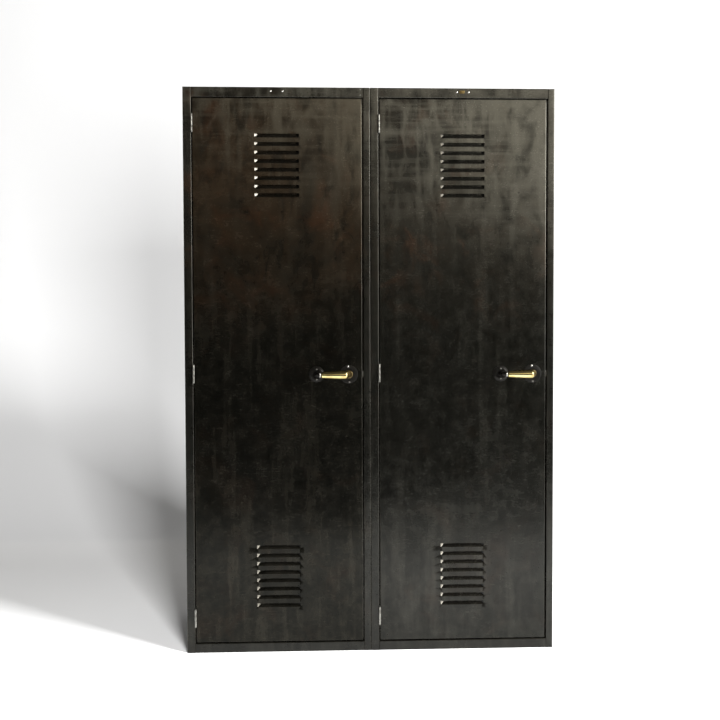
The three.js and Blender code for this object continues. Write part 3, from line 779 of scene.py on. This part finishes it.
def case_side(side, kind, seed):
    """A side with its stile, folded from one sheet."""
    low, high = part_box(f"{side}_{kind}_side")
    outward = -1 if kind == "hinge" else 1
    stile = HINGE_STILE if kind == "hinge" else LOCK_STILE
    outer = low.x if outward < 0 else high.x
    front = low.y
    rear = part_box(f"{side}_back_panel")[0].y - GAP
    lip = STILE_RETURN - SHEET
    lock_z = JOINTS[f"{side}_handle_turn"]["pos_m"][2]
    strike = (lock_z - STRIKE_HALF, lock_z + STRIKE_HALF)
    marks = [(stile, depth) for depth in STRIKE_DEPTHS]
    corners = [(BACK_FLANGE, rear - front), (0, rear - front), (0, 0), (stile, 0), (stile, lip),
               (stile + STOP_LIP, lip)]
    path = rounded(corners, [2.5 * MM, BEND, BEND, 1.5 * MM], 40 * MM, marks)
    spans = spaced(low.z, high.z, 40 * MM, strike)

    def hole(p):
        if kind == "hinge" or not strike[0] < p.z < strike[1]:
            return False
        shallow, deep = STRIKE_DEPTHS
        return abs(p.x - (outer - stile)) < 1e-5 and shallow - 0.1 * MM < p.y - front < deep + 0.1 * MM

    def uneven(p):
        if abs(p.x - outer) > 1e-6:
            return p
        to_edge = min(p.y - front, rear - p.y, p.z - low.z, high.z - p.z)
        inward = (1 + ripple(p.y, p.z, seed)) / 2 * WAVE_HEIGHT * 1.6 * smoothstep(0.01, 0.09, to_edge)
        return p - Vector((outward * inward, 0, 0))

    name = f"{side}_{kind}_side_sheet"
    thing = folded(name, path, spans, lambda a, b, t: (outer - outward * a, front + b, t),
                   flip=outward > 0, hole=hole, change=uneven)
    return place(thing, "cabinet", CASE_FINISH, [f"{side}_{kind}_side"])


def top_rail(side):
    """The rail above the door, with the stop that the door shuts against."""
    low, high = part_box(f"{side}_top_rail")
    depth = high.y - low.y
    bottom = low.z + STOP_LIP
    corners = [(0, high.z), (0, bottom), (depth - SHEET, bottom), (depth - SHEET, low.z)]
    path = rounded(corners, [2.2 * MM, 1.5 * MM])
    thing = folded(f"{side}_top_rail_sheet", path, spaced(low.x, high.x, 60 * MM),
                   lambda a, b, t: (t, low.y + a, b))
    return place(thing, "cabinet", CASE_FINISH, [f"{side}_top_rail"])


def floor_panel(side):
    """The floor with its front fold, which is the bottom rail, and the tray between the sides."""
    low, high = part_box(f"{side}_floor_panel")
    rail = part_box(f"{side}_top_rail")
    behind = low.y + STILE_RETURN + 0.4 * MM
    front_fold = rounded([(behind, high.z), (low.y, high.z), (low.y, low.z), (low.y + FOOT, low.z)],
                         [BEND, 1.8 * MM])
    nose = folded("nose", front_fold, spaced(rail[0].x, rail[1].x, 60 * MM), lambda a, b, t: (t, a, b))
    tray_path = rounded([(high.y - FOOT, low.z), (high.y, low.z), (high.y, high.z), (behind, high.z)],
                        [1.8 * MM, BEND])
    tray = folded("tray", tray_path, spaced(low.x, high.x, 60 * MM), lambda a, b, t: (t, a, b))
    thing = joined(f"{side}_floor_sheet", [nose, tray])
    return place(thing, "cabinet", CASE_FINISH, [f"{side}_floor_panel"])


def rivet(name, centre, axis, radius, rise):
    """A domed rivet head."""
    dome = [(-0.3 * MM, 0), (-0.3 * MM, radius), (0.15 * rise, radius)]
    dome += [(rise * math.sin(math.radians(a)), radius * math.cos(math.radians(a))) for a in (20, 40, 60, 78)]
    dome += [(rise, 0)]
    return turned(name, dome, centre, axis, 20)


def screw(name, centre, axis, radius, rise, turn):
    """A domed screw head with a slot."""
    head = rivet(name, centre, axis, radius, rise)
    along = Vector(axis)
    across = along.orthogonal().normalized()
    across.rotate(Matrix.Rotation(turn, 3, along))
    third = along.cross(across)
    shape = bmesh.new()
    bmesh.ops.create_cube(shape, size=1)
    spread = Matrix((across * radius * 2.4, third * 0.22 * radius, along * rise)).transposed().to_4x4()
    spread.translation = Vector(centre) + along * rise * 0.98
    bmesh.ops.transform(shape, matrix=spread, verts=shape.verts)
    mesh = bpy.data.meshes.new("slot")
    shape.to_mesh(mesh)
    shape.free()
    tool = bpy.data.objects.new("slot", mesh)
    bpy.context.scene.collection.objects.link(tool)
    cutter = head.modifiers.new("slot", "BOOLEAN")
    cutter.operation = "DIFFERENCE"
    cutter.object = tool
    cutter.solver = "EXACT"
    settle(head, 30)
    bpy.data.objects.remove(tool)
    return head


def fasteners(side):
    """Rivets on the top rail, a stub of a plain plate, and the bolts that join the two lockers."""
    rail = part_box(f"{side}_top_rail")
    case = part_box(f"{side}_hinge_side")
    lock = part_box(f"{side}_lock_side")
    front = rail[0].y
    middle = (case[0].x + lock[1].x) / 2
    toward = (0, -1, 0)
    height = case[1].z - 12 * MM
    for tag, x in (("a", middle - 19 * MM), ("b", middle + 19 * MM)):
        head = rivet(f"{side}_plate_rivet_{tag}", (x, front, height), toward, *PLATE_RIVET)
        place(head, "cabinet", BRIGHT_FINISH)
    if side == "right":
        stub = soft_block("right_plate_stub", (middle - 11 * MM, front - 0.6 * MM, height - 4.5 * MM),
                          (middle + 6 * MM, front - 0.05 * MM, height + 4.5 * MM), 0.2 * MM)
        place(stub, "cabinet", DULL_BRASS_FINISH)
    else:
        for tag, z in (("a", case[1].z - 6 * MM), ("b", case[1].z - 23 * MM)):
            head = rivet(f"left_rail_rivet_{tag}", (rail[1].x - 9 * MM, front, z), toward, *RAIL_RIVET)
            place(head, "cabinet", HINGE_FINISH)
    inner = lock[1].x - SHEET if side == "left" else case[0].x + SHEET
    way = -1 if side == "left" else 1
    profile = millimetres(BOLT_HEAD_PROFILE)
    for row, z in enumerate(JOINING_HEIGHTS):
        for column, y in enumerate((front + JOINING_INSET, JOINING_REAR)):
            bolt = turned(f"{side}_joining_bolt_{row}{column}", profile, (inner, y, z), (way, 0, 0), 6, 20)
            place(bolt, "cabinet", LOCK_FINISH)


# Hinges

def knuckle_and_roll(x0, x1, centre, bottom, length):
    """One knuckle, and the curl of the leaf behind it. The knuckle is solid, so the pin passes through it."""
    soft = KNUCKLE_EDGE
    narrow = KNUCKLE_RADIUS - soft
    profile = [(0, 0), (0, narrow)]
    profile += [(soft * (1 - math.cos(a)), narrow + soft * math.sin(a)) for a in (0.5, 1.0, 1.57)]
    profile += [(length - soft * (1 - math.cos(a)), narrow + soft * math.sin(a)) for a in (1.57, 1.0, 0.5)]
    profile += [(length, narrow), (length, 0)]
    near, far = ROLL_DEPTHS
    return [
        turned("knuckle", profile, (centre.x, centre.y, bottom), (0, 0, 1), 28),
        soft_block("roll", (x0, centre.y + near, bottom), (x1, centre.y + far, bottom + length), LEAF_EDGE),
    ]


def hinge(side, level):
    """Two leaves with rolled knuckles round a headed pin."""
    pin_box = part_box(f"{side}_{level}_hinge_pin")
    centre = (pin_box[0] + pin_box[1]) / 2
    knuckle = HINGE_HEIGHT / KNUCKLES
    leaf_half = HINGE_HEIGHT / 2 - 0.1 * MM
    for leaf, first, way in (("frame", 0, -1), ("door", 1, 1)):
        node = f"{side}_{level}_hinge_{leaf}_leaf"
        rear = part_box(node)[1].y
        x0, x1 = sorted(centre.x + way * reach for reach in LEAF_SIDES)
        parts = [soft_block("leaf", (x0, centre.y + LEAF_START, centre.z - leaf_half),
                            (x1, rear, centre.z + leaf_half), LEAF_EDGE)]
        for k in range(first, KNUCKLES, 2):
            bottom = centre.z - HINGE_HEIGHT / 2 + k * knuckle + KNUCKLE_GAP
            parts += knuckle_and_roll(x0, x1, centre, bottom, knuckle - 2 * KNUCKLE_GAP)
        thing = joined(f"{side}_{level}_hinge_{leaf}", parts)
        body = "cabinet" if leaf == "frame" else f"{side}_door"
        place(thing, body, HINGE_FINISH, [node])
    half = (pin_box[1].z - pin_box[0].z) / 2
    profile = [(-half, 0), (-half, PIN_HEAD_RADIUS * 0.55), (-half + 0.4 * MM, PIN_HEAD_RADIUS * 0.9),
               (-half + 1.0 * MM, PIN_HEAD_RADIUS), (-half + 1.35 * MM, PIN_HEAD_RADIUS),
               (-half + 1.35 * MM, PIN_RADIUS)]
    profile += [(-a, r) for a, r in profile[::-1]]
    pin = turned(f"{side}_{level}_hinge_pin_fine", profile, centre, (0, 0, 1), 28)
    place(pin, "cabinet", HINGE_FINISH, [f"{side}_{level}_hinge_pin"])


# Handle and lock

def ring_of_screws(name, centre, radius, out, angles, size, turn):
    """Two slotted screws on opposite sides of a centre; turn sets the slots, which stand at odd angles."""
    heads = []
    for tag, degrees in zip("ab", angles):
        angle = math.radians(degrees)
        spoke = Vector((math.cos(angle), 0, math.sin(angle))) * radius
        place_at = Vector(centre) + spoke + Vector((0, -out, 0))
        heads.append(screw(f"{name}_{tag}", place_at, (0, -1, 0), *size, turn + degrees))
    return heads


def rosette(side, spindle):
    """The round plate that the handle turns in, and its two screws."""
    ring = washer(f"{side}_rosette", millimetres(ROSETTE_PROFILE), spindle, (0, -1, 0), 72, 25)
    place(ring, f"{side}_door", IRON_FINISH, [f"{side}_handle_rosette"])
    for head in ring_of_screws(f"{side}_rosette_screw", spindle, ROSETTE_SCREW_RADIUS, 5.7 * MM, (90, 270),
                               ROSETTE_SCREW, 0.7):
        place(head, f"{side}_door", HINGE_FINISH)


def neck(side, spindle):
    """The elbow that carries the grip, swept along its centre line, and the square behind it."""
    up = Vector((0, 0, 1))
    line = [(Vector((0, -out * MM, 0)), Vector((0, -1, 0)), radius) for out, radius in NECK_STEM]
    for i in range(13):
        angle = math.radians(90 * i / 12)
        centre = Vector((NECK_BEND * (1 - math.cos(angle)), -GRIP_OUT + NECK_BEND * (1 - math.sin(angle)), 0))
        heading = Vector((math.sin(angle), -math.cos(angle), 0))
        line.append((centre, heading, 6.8 + 0.5 * math.sin(angle * 2)))
    line.append((Vector((GRIP_START - 0.4 * MM, -GRIP_OUT, 0)), Vector((1, 0, 0)), 7.4))
    surface = Surface()
    count = 36

    def ring(i, k):
        centre, heading, radius = line[i]
        across = up.cross(heading)
        angle = 2 * math.pi * (k % count) / count
        return Vector(spindle) + centre + (across * math.cos(angle) + up * math.sin(angle)) * radius * MM

    for i in range(len(line) - 1):
        for k in range(count):
            surface.face(ring(i, k), ring(i + 1, k), ring(i + 1, k + 1), ring(i, k + 1))
    surface.face(*[ring(0, k) for k in range(count)])
    surface.face(*[ring(len(line) - 1, k) for k in range(count)][::-1])
    elbow = settle(add_mesh("elbow", surface.points, surface.faces), 40)
    near, far = SQUARE_DEPTHS
    square = soft_block("square", Vector(spindle) + Vector((-SQUARE_HALF, near, -SQUARE_HALF)),
                        Vector(spindle) + Vector((SQUARE_HALF, far, SQUARE_HALF)), 0.4 * MM)
    thing = joined(f"{side}_neck", [elbow, square])
    place(thing, f"{side}_handle", IRON_FINISH, [f"{side}_handle_neck"])


def grip(side, spindle):
    """The brass grip, which swells towards its domed end, and the ferrule at its start."""
    base = Vector(spindle) + Vector((0, -GRIP_OUT, 0))
    profile = [(0, 0), (0, 9.4), (0.5, 10.1), (1.3, 10.5), (GRIP_SHOULDER, GRIP_NARROW)]
    for i in range(1, GRIP_STEPS + 1):
        share = i / GRIP_STEPS
        along = GRIP_SHOULDER + share * (GRIP_LENGTH - GRIP_DOME - GRIP_SHOULDER)
        profile.append((along, GRIP_NARROW + GRIP_SWELL * math.sin(share * math.pi / 2)))
    for i in range(1, GRIP_STEPS + 1):
        turn = math.radians(90 * i / GRIP_STEPS)
        radius = GRIP_WIDE * math.cos(turn) ** 0.85 if i < GRIP_STEPS else 0
        profile.append((GRIP_LENGTH - GRIP_DOME + GRIP_DOME * math.sin(turn), radius))
    start = base + Vector((GRIP_START, 0, 0))
    thing = turned(f"{side}_grip", millimetres(profile), start, (1, 0, 0), 56, 40)
    place(thing, f"{side}_handle", BRASS_FINISH, [f"{side}_handle_grip"])
    seat = (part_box(f"{side}_handle_ferrule")[0].x, base.y, base.z)
    collar = washer(f"{side}_ferrule", millimetres(FERRULE_PROFILE), seat, (1, 0, 0), 48)
    place(collar, f"{side}_handle", BRIGHT_FINISH, [f"{side}_handle_ferrule"])


def key_lock(side, key):
    """The escutcheon with its two screws, one rubbed bright, and the key cylinder."""
    out = (0, -1, 0)
    disc = washer(f"{side}_escutcheon_fine", millimetres(ESCUTCHEON_PROFILE), key, out, 72, 25)
    place(disc, f"{side}_door", IRON_FINISH, [f"{side}_escutcheon"])
    bright, dull = ring_of_screws(f"{side}_escutcheon_screw", key, ESCUTCHEON_SCREW_RADIUS, 1.8 * MM,
                                  (94, 274), ESCUTCHEON_SCREW, 1.1)
    place(bright, f"{side}_door", BRIGHT_FINISH)
    place(dull, f"{side}_door", LOCK_FINISH)
    nose = washer("nose", millimetres(CYLINDER_PROFILE), key, out, 56, 25)
    barrel = washer("barrel", millimetres(BARREL_PROFILE), key, out, 40, 30)
    cylinder = joined(f"{side}_cylinder", [nose, barrel])
    place(cylinder, f"{side}_door", CYLINDER_FINISH, [f"{side}_lock_cylinder"])


def kept(node, material, edge):
    """A CAD node that stays: its edges are eased and it gets a finish."""
    thing = frame["nodes"][node]
    thing.data.materials.clear()
    thing.data.materials.append(material)
    if "custom_normal" in thing.data.attributes:
        thing.data.attributes.remove(thing.data.attributes["custom_normal"])
    for polygon in thing.data.polygons:
        polygon.use_smooth = False
    ease = thing.modifiers.new("edges", "BEVEL")
    ease.width = edge
    ease.segments = 2
    ease.limit_method = "ANGLE"
    ease.angle_limit = math.radians(SHARP)
    ease.use_clamp_overlap = True


# Build

KEPT_NODES = {
    "roof_panel": (CASE_FINISH, 0.4 * MM),
    "back_panel": (CASE_FINISH, 0.4 * MM),
    "hat_shelf": (INNER_FINISH, 0.4 * MM),
    "hanging_rail": (LOCK_FINISH, 0.4 * MM),
    "door_stiffener": (INNER_FINISH, 0.4 * MM),
    "lock_case": (LOCK_FINISH, 0.4 * MM),
    "latch_bolt": (HINGE_FINISH, 0.4 * MM),
    "spindle_follower": (LOCK_FINISH, 0.3 * MM),
    "key_plug": (DULL_BRASS_FINISH, 0.3 * MM),
}

for number, side in enumerate(SIDES):
    door_sheet(side, 3.7 + 11 * number)
    case_side(side, "hinge", 21.0 + number)
    case_side(side, "lock", 33.0 + number)
    top_rail(side)
    floor_panel(side)
    fasteners(side)
    for level in LEVELS:
        hinge(side, level)
    spindle = Vector(JOINTS[f"{side}_handle_turn"]["pos_m"])
    key = Vector(JOINTS[f"{side}_plug_turn"]["pos_m"])
    rosette(side, spindle)
    neck(side, spindle)
    grip(side, spindle)
    key_lock(side, key)
    for node, (material, edge) in KEPT_NODES.items():
        kept(f"{side}_{node}", material, edge)


# Stage, light and camera

def studio_material(name, albedo):
    """Matt and without gloss."""
    s = Shader(name, 0.0, 0.9, (albedo,) * 3)
    s.surface.inputs["Specular IOR Level"].default_value = 0.0
    return s.material


def sweep():
    """A floor that curves up into a wall far behind the lockers."""
    flat = WALL_DISTANCE - SWEEP_RADIUS
    profile = [(-2.0, 0.0), (-1.0, 0.0), (0.0, 0.0), (flat, 0.0)]
    for degrees in range(3, 91, 3):
        angle = math.radians(degrees)
        profile.append((flat + SWEEP_RADIUS * math.sin(angle), SWEEP_RADIUS * (1 - math.cos(angle))))
    profile.append((WALL_DISTANCE, WALL_TOP))
    left, right = -STAGE_HALF, STAGE_HALF
    surface = Surface()
    for (y1, z1), (y2, z2) in zip(profile, profile[1:]):
        surface.face((left, y1, z1), (right, y1, z1), (right, y2, z2), (left, y2, z2))
    floor = settle(add_mesh("studio_floor", surface.points, surface.faces), 60)
    floor.data.materials.append(studio_material("studio_white", 0.82))
    return floor


def area_light(name, place_at, aim, size, watts, glossy=True):
    """A lamp that the camera doesn't see, turned towards aim."""
    light = bpy.data.lights.new(name, "AREA")
    light.shape = "RECTANGLE"
    light.size, light.size_y = size
    light.energy = watts
    lamp = bpy.data.objects.new(name, light)
    lamp.location = place_at
    lamp.rotation_euler = (Vector(aim) - Vector(place_at)).to_track_quat("-Z", "Y").to_euler()
    lamp.visible_camera = False
    lamp.visible_glossy = glossy
    bpy.context.scene.collection.objects.link(lamp)
    return lamp


def surroundings():
    """White behind the lockers, and a dim, warm room in front of them that their gloss shows."""
    world = bpy.data.worlds.new("studio")
    world.use_nodes = True
    bpy.context.scene.world = world
    tree = world.node_tree
    nodes, links = tree.nodes, tree.links

    def between(value, low, high, to_low, to_high):
        made = nodes.new("ShaderNodeMapRange")
        made.interpolation_type = "SMOOTHSTEP"
        links.new(value, made.inputs["Value"])
        for key, number in zip(("From Min", "From Max", "To Min", "To Max"), (low, high, to_low, to_high)):
            made.inputs[key].default_value = number
        return made.outputs[0]

    def combine(operation, a, b):
        made = nodes.new("ShaderNodeMath")
        made.operation = operation
        for socket, value in zip(made.inputs, (a, b)):
            if isinstance(value, float):
                socket.default_value = value
            else:
                links.new(value, socket)
        return made.outputs[0]

    def glow(colour, strength):
        made = nodes.new("ShaderNodeBackground")
        made.inputs["Color"].default_value = (*colour, 1)
        if isinstance(strength, float):
            made.inputs["Strength"].default_value = strength
        else:
            links.new(strength, made.inputs["Strength"])
        return made.outputs[0]

    def either(choice, a, b):
        made = nodes.new("ShaderNodeMixShader")
        for socket, value in zip(made.inputs, (choice, a, b)):
            links.new(value, socket)
        return made.outputs[0]

    where = nodes.new("ShaderNodeTexCoord")
    split = nodes.new("ShaderNodeSeparateXYZ")
    links.new(where.outputs["Generated"], split.inputs[0])
    rise = between(split.outputs[2], 0.015, 0.18, 0.0, 1.0)
    fall = between(split.outputs[2], 0.3, 0.55, 1.0, 0.05)
    across = between(split.outputs[0], -0.22, 0.34, 0.5, 2.1)
    window = combine("MULTIPLY", combine("MULTIPLY", rise, fall), across)
    room = glow((1.0, 0.93, 0.80), combine("ADD", combine("MULTIPLY", window, 0.74), 0.033))
    ray = nodes.new("ShaderNodeLightPath")
    seen = either(ray.outputs["Is Diffuse Ray"], room, glow((1.0, 0.98, 0.95), 0.11))
    seen = either(ray.outputs["Is Camera Ray"], seen, glow((1.0, 1.0, 1.0), 1.0))
    links.new(seen, nodes["World Output"].inputs["Surface"])


def camera():
    lens = bpy.data.cameras.new("camera")
    lens.lens = 50
    lens.sensor_width = 36
    thing = bpy.data.objects.new("camera", lens)
    thing.location = CAMERA_PLACE
    thing.rotation_euler = [math.radians(angle) for angle in CAMERA_TURN]
    bpy.context.scene.collection.objects.link(thing)
    bpy.context.scene.camera = thing


def lit_by(lamp, thing, state):
    """Limits a lamp to one object, or keeps it off that object."""
    group = bpy.data.collections.new(lamp.name + "_receivers")
    group.objects.link(thing)
    group.collection_objects[0].light_linking.link_state = state
    lamp.light_linking.receiver_collection = group


backdrop = sweep()
window = area_light("window", (2.7, -1.9, 1.75), (0.0, -0.1, 0.95), (1.3, 2.3), 125)
lit_by(window, backdrop, "EXCLUDE")
front_fill = area_light("backdrop_front", (0.75, -4.8, 1.35), (-0.4, 0.0, 1.2), (0.95, 1.5), 700,
                        glossy=False)
lit_by(front_fill, backdrop, "INCLUDE")
right_fill = area_light("backdrop_right", (3.0, -2.8, 3.0), (-0.8, 1.5, 0.6), (0.9, 0.9), 560, glossy=False)
lit_by(right_fill, backdrop, "INCLUDE")
surroundings()
camera()
bpy.context.scene.view_settings.view_transform = "Standard"
